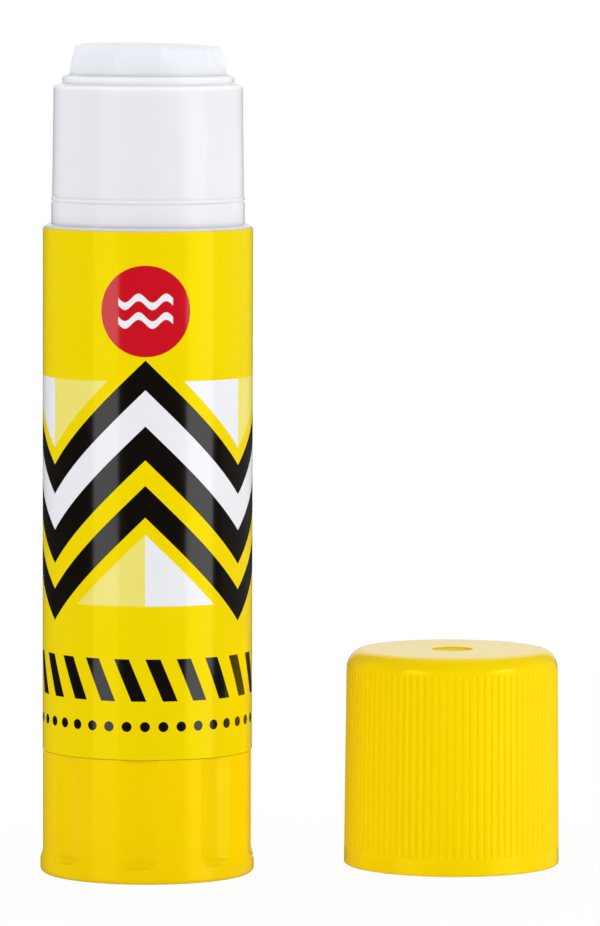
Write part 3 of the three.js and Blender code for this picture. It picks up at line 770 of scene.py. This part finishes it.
def label_film():
    """Glossy laminated print. The motifs are drawn from the label's own unrolled millimetres."""
    paint = material("label_film")
    unrolled = paint.add("ShaderNodeUVMap", {"uv_map": "print"}).outputs["UV"]
    u = paint.axis("X", unrolled)
    v = paint.axis("Y", unrolled)
    pitch = 2 * math.pi * (LABEL_INNER_RADIUS + LABEL_THICKNESS) / REPEATS

    def within(value, low, high):
        """1 where the value lies between the two limits, with edges as soft as print."""
        soft = PRINT_SOFTNESS / 2
        past_low = paint.smooth(value, low - soft, low + soft)
        past_high = paint.smooth(value, high - soft, high + soft)
        return past_low * (1 - past_high)

    def nearer(distance, reach):
        """1 where the distance is shorter than the reach."""
        return within(distance, -1.0, reach)

    def right_of(distance):
        return paint.smooth(distance, -MIDLINE_SOFTNESS / 2, MIDLINE_SOFTNESS / 2)

    def repeated(width, shift=0.0):
        """Distance from the nearest of the marks that repeat every width round the label."""
        turn = paint.number("FRACT", (u + shift) / width + 0.5)
        return (turn - 0.5) * width

    def disc(sideways, height, radius):
        rise = v - height
        return nearer(paint.number("SQRT", sideways * sideways + rise * rise), radius)

    across = repeated(pitch)
    over_zigzag = v - ZIGZAG_RISE * (1 - abs(across) * (2 / pitch))
    black = within(over_zigzag, *BLACK_BAND)
    white_line = within(over_zigzag, *WHITE_BAND)
    yellow_line = within(over_zigzag, *YELLOW_BAND)
    upper_triangles = within(over_zigzag, *ABOVE_ZIGZAG) * within(v, *UPPER_TRIANGLES)
    lower_triangles = within(over_zigzag, *BELOW_ZIGZAG) * within(v, *LOWER_TRIANGLES)
    right_half = right_of(across)
    left_half = right_of(repeated(pitch, pitch / 2))
    red_disc = disc(across, DISC_HEIGHT, DISC_RADIUS)
    wave = v + RIPPLE_RISE * paint.number("SINE", across * (math.tau / RIPPLE_LENGTH))
    ripples = within(wave, *RIPPLES[0]) + within(wave, *RIPPLES[1])
    ripples = ripples * nearer(abs(across), RIPPLE_LENGTH)
    bar_pitch = pitch / BARS_IN_REPEAT
    slanted = paint.number("FRACT", (u + BAR_SLANT * v) / bar_pitch + 0.25)
    bars = within((slanted - 0.5) * bar_pitch, -BAR_HALF_WIDTH, BAR_HALF_WIDTH)
    bars = bars * within(v, *BAR_HEIGHTS)
    dots = disc(repeated(pitch / DOTS_IN_REPEAT), DOT_HEIGHT, DOT_RADIUS)

    ink = paint.noise(size=0.14)
    tone = paint.noise(size=14)
    colour = paint.mix(0.5 * tone, PRINT_YELLOW, PRINT_YELLOW_DEEP)
    colour = paint.mix(upper_triangles, colour, paint.mix(left_half, PRINT_WHITE, PRINT_PALE))
    colour = paint.mix(lower_triangles, colour, paint.mix(right_half, PRINT_PALE, PRINT_WHITE))
    colour = paint.mix(black, colour, PRINT_BLACK)
    colour = paint.mix(white_line, colour, PRINT_WHITE)
    colour = paint.mix(yellow_line, colour, PRINT_YELLOW)
    colour = paint.mix(red_disc, colour, PRINT_RED)
    colour = paint.mix(ripples, colour, PRINT_WHITE)
    colour = paint.mix(paint.number("MAXIMUM", bars, dots), colour, PRINT_BLACK)
    colour = paint.mix(0.08 * ink, colour, PRINT_BLACK)
    handled = paint.smooth(paint.noise(size=6, detail=4), 0.5, 0.75)
    wrinkle = paint.noise(size=5, detail=1, vector=paint.stretched(1, 1, 0.35))
    skin = {
        "Base_Color": colour,
        "Roughness": 0.11 + 0.05 * handled + 0.03 * ink,
        "Normal": paint.bump(wrinkle + 0.06 * ink, depth=0.012, strength=0.5),
        "IOR": 1.5,
    }
    printed = black + upper_triangles + lower_triangles + red_disc + bars + dots - yellow_line
    over_yellow = paint.shader(**skin, Specular_Tint=YELLOW_GLOSS)
    over_print = paint.shader(**skin)
    mixed = paint.add("ShaderNodeMixShader", None, {0: printed, 1: over_yellow, 2: over_print})
    return paint.finished(mixed.outputs[0])


show(label_mesh(), "label_wrap", "barrel", "label", label_film(), crease=30)


# Carrier
# The cup on the screw that holds the glue's foot, in the barrel's own plastic. The barrel hides it
# at every height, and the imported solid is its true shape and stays.
dress("carrier", white)


# Glue
# The stick of glue, cast in the barrel round its keys: off-white, waxy and a little see-through,
# with a rounded tip that leans slightly and bears faint smears from use.
GLUE_RADIUS = 7.48
GLUE_FOOT_RADIUS = 6.65
GLUE_FOOT = 25.55
GLUE_STEP = 28.55
GLUE_BORE_RADIUS = 2.9
GLUE_BORE_TOP = 67.25
GLUE_BORE_POINT = 1.4
GLUE_CHAMFER = 0.1
GLUE_GROOVE_TOP = 74.65
GLUE_GROOVE_RADIUS = 6.8
GLUE_GROOVE_HALF_WIDTH = 0.8
GLUE_TIP = 78.86
GLUE_TIP_RADIUS = 6.62
GLUE_TAPER = (0.085, 0.047)
TAPER_HEIGHTS = [i / 10 for i in range(26)]
GLUE_TIP_EDGE = 0.34
GLUE_DOME = 0.26
GLUE_LEAN = 1.1
GLUE_COLOUR = (0.765, 0.785, 0.835, 1)
GLUE_COLOUR_DEEP = (0.715, 0.74, 0.795, 1)
# Painted light: the lighter colour of the band over the rim and of the top, and where each begins
# and ends.
GLUE_COLOUR_PAINTED_LIGHT = (0.83, 0.85, 0.89, 1)
GLUE_COLOUR_SMEARED = (0.86, 0.89, 0.93, 1)
GLUE_RIM_LIGHT_FROM = (-0.9, -0.3)
GLUE_RIM_LIGHT_TO = (0.0, 0.8)
GLUE_TOP_LIGHT_FROM = (-0.3, 0.1)
SMEARED_FROM = (75.5, 77.5)
GLUE_TOP_LIGHT_SHARE = 0.8
SMEARED_SHARE = 0.35


def glue_taper(up):
    """The tip's radius at a height above the rim: it draws in more and more."""
    return GLUE_RADIUS - GLUE_TAPER[0] * up - GLUE_TAPER[1] * up * up


def glue_form(angle, radius, height):
    """The grooves that the barrel's keys leave, and the lean of the tip."""
    grooved = GLUE_STEP <= height <= GLUE_GROOVE_TOP
    if grooved and between_sides(angle, GLUE_GROOVE_HALF_WIDTH, GLUE_GROOVE_RADIUS):
        radius = min(radius, GLUE_GROOVE_RADIUS)
    share = min(max((height - RIM_TOP) / (GLUE_TIP - RIM_TOP), 0), 1)
    left = -radius * math.sin(math.radians(angle))
    return radius, height + share * left * math.tan(math.radians(GLUE_LEAN))


glue_outline = [
    (0, GLUE_BORE_TOP + GLUE_BORE_POINT),
    (GLUE_BORE_RADIUS, GLUE_BORE_TOP),
    (GLUE_BORE_RADIUS, GLUE_FOOT + GLUE_CHAMFER),
    (GLUE_BORE_RADIUS + GLUE_CHAMFER, GLUE_FOOT),
    (GLUE_FOOT_RADIUS - GLUE_CHAMFER, GLUE_FOOT),
    (GLUE_FOOT_RADIUS, GLUE_FOOT + GLUE_CHAMFER),
    (GLUE_FOOT_RADIUS, GLUE_STEP),
    (GLUE_RADIUS - GLUE_CHAMFER, GLUE_STEP),
    (GLUE_RADIUS, GLUE_STEP + GLUE_CHAMFER),
    (GLUE_RADIUS, GLUE_GROOVE_TOP - 0.04),
    (GLUE_RADIUS, GLUE_GROOVE_TOP),
    (GLUE_RADIUS, GLUE_GROOVE_TOP + 0.02),
    (GLUE_RADIUS, RIM_TOP - 0.5),
    *[(glue_taper(up), RIM_TOP + up) for up in TAPER_HEIGHTS],
    *arc(GLUE_TIP_RADIUS, GLUE_TIP - GLUE_DOME, GLUE_TIP_EDGE, GLUE_DOME, 8, 90, 7),
    *arc(0, GLUE_TIP, GLUE_TIP_RADIUS, GLUE_DOME, 4, 86, 18),
    (0, GLUE_TIP + GLUE_DOME),
]


def glue_stick():
    """Waxy glue: milky body, faint swirls, a dull skin and fine dabs from use, with painted light: a
    lighter band where it rises from the rim, lifting the shade there, and a lighter top, as if lit
    from above.
    """
    paint = material("waxy_glue")
    swirl = paint.noise(size=4.5, detail=4)
    dab = paint.noise(size=1.3, detail=3, vector=paint.stretched(1, 1, 0.6))
    grain = paint.noise(size=0.25)
    up = paint.axis("Z") / MM
    over_rim = up - RIM_TOP
    smeared = paint.smooth(dab, 0.52, 0.7) * paint.smooth(up, *SMEARED_FROM)
    # Painted light: a lighter band where the glue rises from the rim, lifting the shade there, and a
    # lighter top, as if lit from above.
    wear_and_rim_light = paint.smooth(over_rim, *GLUE_RIM_LIGHT_FROM) * (1 - paint.smooth(over_rim, *GLUE_RIM_LIGHT_TO))
    painted_top_light = GLUE_TOP_LIGHT_SHARE * paint.smooth(up - GLUE_TIP, *GLUE_TOP_LIGHT_FROM)
    colour = paint.mix(0.6 * swirl, GLUE_COLOUR, GLUE_COLOUR_DEEP)
    colour = paint.mix(wear_and_rim_light + painted_top_light, colour, GLUE_COLOUR_PAINTED_LIGHT)
    return paint.surface(
        Base_Color=paint.mix(SMEARED_SHARE * smeared, colour, GLUE_COLOUR_SMEARED),
        Roughness=0.42 + 0.14 * swirl + 0.1 * smeared,
        Normal=paint.bump(dab + 0.35 * grain, depth=0.05, strength=0.5),
        IOR=1.47,
        Subsurface_Weight=0.9,
        Subsurface_Radius=(1.0, 1.03, 1.06),
        Subsurface_Scale=0.002,
    )


glue_angles = keyed_angles(GLUE_GROOVE_HALF_WIDTH, GLUE_GROOVE_RADIUS)
glue_mesh = turned(glue_outline, glue_angles, glue_form)
show(glue_mesh, "glue_stick_cast", "carrier", "glue", glue_stick())


# Cap
# A push-on cap moulded in the knob's yellow plastic, standing mouth down beside the stick. Its wall
# has ninety fine ribs to grip, its top bears the dimple of the mould's gate, and inside it are a
# snap ring for the collar and a ring that seals the rim.
CAP_CENTRE = (29.27, 6.29)
CAP_TOP = 20.77
CAP_MOUTH_RADIUS = 10.38
CAP_SHOULDER_RADIUS = 10.195
CAP_SHOULDER_FOOT = 18.8
CAP_FACE_RADIUS = 8.495
CAP_EDGE = 0.25
CAP_BORE = 9.355
LEAD_IN = (0.38, 0.5)
LEAD_IN_EDGE = 0.08
CAP_ROOF = 19.47
SEAL_RADII = (8.25, 8.885)
SEAL_FOOT = 13.37
SEAL_CHAMFER = 0.2
SEAL_FILLET = 0.15
SNAP_RADIUS = 9.165
SNAP_HEIGHT = 2.25
SNAP_HALF_HEIGHT = 0.25
SNAP_SLOPE = (0.1, 0.12)
SNAP_CREST = 0.03
DIMPLE_RADIUS = 1.95
DIMPLE_DEPTH = 0.5
DIMPLE_LIP = 0.05
RIB_COUNT = 90
RIB_FOOT = (1.45, 1.95)
RIB_HEAD = (18.95, 19.4)
RIB_END_STEPS = 6
RIB_HEIGHTS = (2.1, 10.0, 18.0, 18.6)
BAND_HEIGHTS = (0.3, 1.0, 1.38)
SHOULDER_TURNS = range(20, 90, 5)
DISH_STEPS = 14
WELD_REACH = 1e-7
VALLEY_DEPTH = 0.06
# Places across one rib's width: degrees from the valley's middle, and the share of its depth.
VALLEY = (
    (-2.0, 0.0), (-1.45, 0.03), (-1.15, 0.1), (-0.9, 0.28), (-0.6, 0.66), (-0.28, 0.94),
    (0.0, 1.0), (0.28, 0.94), (0.6, 0.66), (0.9, 0.28), (1.15, 0.1), (1.45, 0.03), (2.0, 0.0),
)
PLAIN = ((-2.0, 0.0), (-1.0, 0.0), (0.0, 0.0), (1.0, 0.0), (2.0, 0.0))
SIDES = ((-2.0, 0.0), (2.0, 0.0))
CAP_YELLOW = (0.88, 0.63, 0.001, 1)
CAP_YELLOW_THIN = (0.9, 0.66, 0.001, 1)
# Painted shade in the rib valleys: its darker colour, and how far from a valley's middle it fades.
CAP_YELLOW_PAINTED_SHADE = (0.865, 0.605, 0.001, 1)
PAINTED_SHADE_WIDTH = (0.3, 1.1)


def copies_round_axis():
    """Geometry nodes that set copies of an item evenly round the axis, and weld their sides."""
    tree = bpy.data.node_groups.new("copies_round_axis", "GeometryNodeTree")
    for name, kind in (
        ("Item", "NodeSocketGeometry"),
        ("Count", "NodeSocketInt"),
        ("Weld", "NodeSocketFloat"),
        ("Finish", "NodeSocketMaterial"),
    ):
        tree.interface.new_socket(name, in_out="INPUT", socket_type=kind)
    tree.interface.new_socket("Copies", in_out="OUTPUT", socket_type="NodeSocketGeometry")

    def node(kind, links, **settings):
        made = tree.nodes.new(kind)
        for name, value in settings.items():
            setattr(made, name, value)
        for key, source in links.items():
            if isinstance(source, bpy.types.NodeSocket):
                tree.links.new(source, made.inputs[key])
            else:
                made.inputs[key].default_value = source
        return made.outputs

    given = node("NodeGroupInput", {})
    points = node("GeometryNodePoints", {"Count": given["Count"]})
    index = node("GeometryNodeInputIndex", {})
    step = node("ShaderNodeMath", {0: math.tau, 1: given["Count"]}, operation="DIVIDE")
    turn = node("ShaderNodeMath", {0: index[0], 1: step[0]}, operation="MULTIPLY")
    euler = node("ShaderNodeCombineXYZ", {"Z": turn[0]})
    rotation = node("FunctionNodeEulerToRotation", {0: euler[0]})
    placed = node(
        "GeometryNodeInstanceOnPoints",
        {"Points": points[0], "Instance": given["Item"], "Rotation": rotation[0]},
    )
    solid = node("GeometryNodeRealizeInstances", {"Geometry": placed[0]})
    welded = node("GeometryNodeMergeByDistance", {"Geometry": solid[0], "Distance": given["Weld"]})
    finished = node("GeometryNodeSetMaterial", {"Geometry": welded[0], "Material": given["Finish"]})
    node("NodeGroupOutput", {"Copies": finished[0]})
    return tree


def repeat_round_axis(item, count, weld, finish):
    """The item's copies round the axis as one plain mesh."""
    source = bpy.data.meshes.new("one_of_many")
    item.to_mesh(source)
    item.free()
    source.materials.append(finish)
    holder = bpy.data.objects.new("one_of_many", source)
    bpy.context.scene.collection.objects.link(holder)
    modifier = holder.modifiers.new("copies", "NODES")
    modifier.node_group = copies_round_axis()
    given = {"Count": count, "Weld": weld, "Finish": finish}
    for socket in modifier.node_group.interface.items_tree:
        if socket.in_out == "INPUT" and socket.name in given:
            modifier[socket.identifier] = given[socket.name]
    depsgraph = bpy.context.evaluated_depsgraph_get()
    baked = bpy.data.meshes.new_from_object(holder.evaluated_get(depsgraph))
    bpy.data.objects.remove(holder)
    mesh = bmesh.new()
    mesh.from_mesh(baked)
    bpy.data.meshes.remove(baked)
    return mesh


def cap_wall_radius(height):
    """The ribbed wall's radius: a slight draft, then the rounded shoulder."""
    if height <= CAP_SHOULDER_FOOT:
        draft = CAP_SHOULDER_RADIUS - CAP_MOUTH_RADIUS
        return CAP_MOUTH_RADIUS + draft * height / CAP_SHOULDER_FOOT
    up = (height - CAP_SHOULDER_FOOT) / (CAP_TOP - CAP_SHOULDER_FOOT)
    out = math.sqrt(max(1 - up * up, 0))
    return CAP_FACE_RADIUS + (CAP_SHOULDER_RADIUS - CAP_FACE_RADIUS) * out


def cap_sector():
    """One ninetieth of the cap, with a valley down its middle. The plan's rows run from the roof
    down the inside, round the mouth, up the ribbed wall and in over the top."""
    mesh = bmesh.new()
    inside = held(
        [
            (0, CAP_ROOF),
            (SEAL_RADII[0] - SEAL_FILLET, CAP_ROOF),
            (SEAL_RADII[0], CAP_ROOF - SEAL_FILLET),
            (SEAL_RADII[0], SEAL_FOOT + SEAL_CHAMFER),
            (SEAL_RADII[0] + SEAL_CHAMFER, SEAL_FOOT),
            (SEAL_RADII[1] - SEAL_CHAMFER, SEAL_FOOT),
            (SEAL_RADII[1], SEAL_FOOT + SEAL_CHAMFER),
            (SEAL_RADII[1], CAP_ROOF),
            (CAP_BORE, CAP_ROOF),
            (CAP_BORE, SNAP_HEIGHT + SNAP_HALF_HEIGHT),
            (CAP_BORE - SNAP_SLOPE[0], SNAP_HEIGHT + SNAP_SLOPE[1]),
            (SNAP_RADIUS, SNAP_HEIGHT + SNAP_CREST),
            (SNAP_RADIUS, SNAP_HEIGHT - SNAP_CREST),
            (CAP_BORE - SNAP_SLOPE[0], SNAP_HEIGHT - SNAP_SLOPE[1]),
            (CAP_BORE, SNAP_HEIGHT - SNAP_HALF_HEIGHT),
            (CAP_BORE, LEAD_IN[1]),
            (CAP_BORE + LEAD_IN[0] - LEAD_IN_EDGE, LEAD_IN_EDGE),
            (CAP_BORE + LEAD_IN[0], 0),
        ]
    )
    mouth = arc(CAP_MOUTH_RADIUS - CAP_EDGE, CAP_EDGE, CAP_EDGE, CAP_EDGE, -90, -8, 6)
    foot, head = (
        [low + (high - low) * i / RIB_END_STEPS for i in range(RIB_END_STEPS + 1)]
        for low, high in (RIB_FOOT, RIB_HEAD)
    )
    rise = CAP_TOP - CAP_SHOULDER_FOOT
    shoulder = [CAP_SHOULDER_FOOT + rise * math.sin(math.radians(a)) for a in SHOULDER_TURNS]
    face = held(
        [
            (CAP_FACE_RADIUS, CAP_TOP),
            (DIMPLE_RADIUS + 0.08, CAP_TOP),
            (DIMPLE_RADIUS + 0.03, CAP_TOP - 0.02),
        ]
    )
    dish = arc(0, CAP_TOP - DIMPLE_LIP, DIMPLE_RADIUS, DIMPLE_DEPTH - DIMPLE_LIP, 0, -90, DISH_STEPS)
    plan = [(r, h, SIDES) for r, h in inside]
    plan += [(r, h, PLAIN) for r, h in mouth]
    plan += [(cap_wall_radius(h), h, PLAIN) for h in BAND_HEIGHTS]
    ribbed = [*foot, *RIB_HEIGHTS, CAP_SHOULDER_FOOT, *head]
    plan += [(cap_wall_radius(h), h, VALLEY) for h in ribbed]
    plan += [(cap_wall_radius(h), h, PLAIN) for h in shoulder if h > RIB_HEAD[1] + 0.02]
    plan += [(r, h, PLAIN) for r, h in face]
    plan += [(r if r > 0.01 else 0, h, SIDES) for r, h in dish]
    rows = []
    for radius, height, places in plan:
        row = []
        for off, share in places if radius else [(0, 0)]:
            depth = VALLEY_DEPTH * share * ease(height, *RIB_FOOT) * (1 - ease(height, *RIB_HEAD))
            a = math.radians(off - 90)
            r = radius - depth
            row.append(mesh.verts.new((r * math.cos(a) * MM, r * math.sin(a) * MM, height * MM)))
        rows.append(row)
    for low, high in zip(rows, rows[1:]):
        stitch(mesh, low, high)
    return mesh


def rib_valley_painted_shade(paint):
    """Where shade is painted: 1 along the middle of each valley of the ribbed wall, and 0 everywhere
    else.
    """
    x = paint.axis("X") / MM - CAP_CENTRE[0]
    y = paint.axis("Y") / MM - CAP_CENTRE[1]
    z = paint.axis("Z") / MM
    out = paint.number("SQRT", x * x + y * y)
    turn = paint.number("ARCTAN2", y, x) / (math.tau / RIB_COUNT)
    off = abs(paint.number("FRACT", turn) - 0.5) * (360 / RIB_COUNT)
    outside = paint.smooth(out, CAP_BORE + 0.2, CAP_BORE + 0.4)
    ribbed = paint.smooth(z, *RIB_FOOT) * (1 - paint.smooth(z, *RIB_HEAD))
    return (1 - paint.smooth(off, *PAINTED_SHADE_WIDTH)) * outside * ribbed


# The cap's plastic, with painted shade in its rib valleys.
cap_plastic = yellow_plastic(
    "cap_plastic", CAP_YELLOW, CAP_YELLOW_THIN, rib_valley_painted_shade, CAP_YELLOW_PAINTED_SHADE
)
cap_mesh = repeat_round_axis(cap_sector(), RIB_COUNT, WELD_REACH, cap_plastic)
bmesh.ops.translate(cap_mesh, vec=Vector((*CAP_CENTRE, 0)) * MM, verts=cap_mesh.verts)
show(cap_mesh, "cap_ribbed", "cap", "cap", cap_plastic)
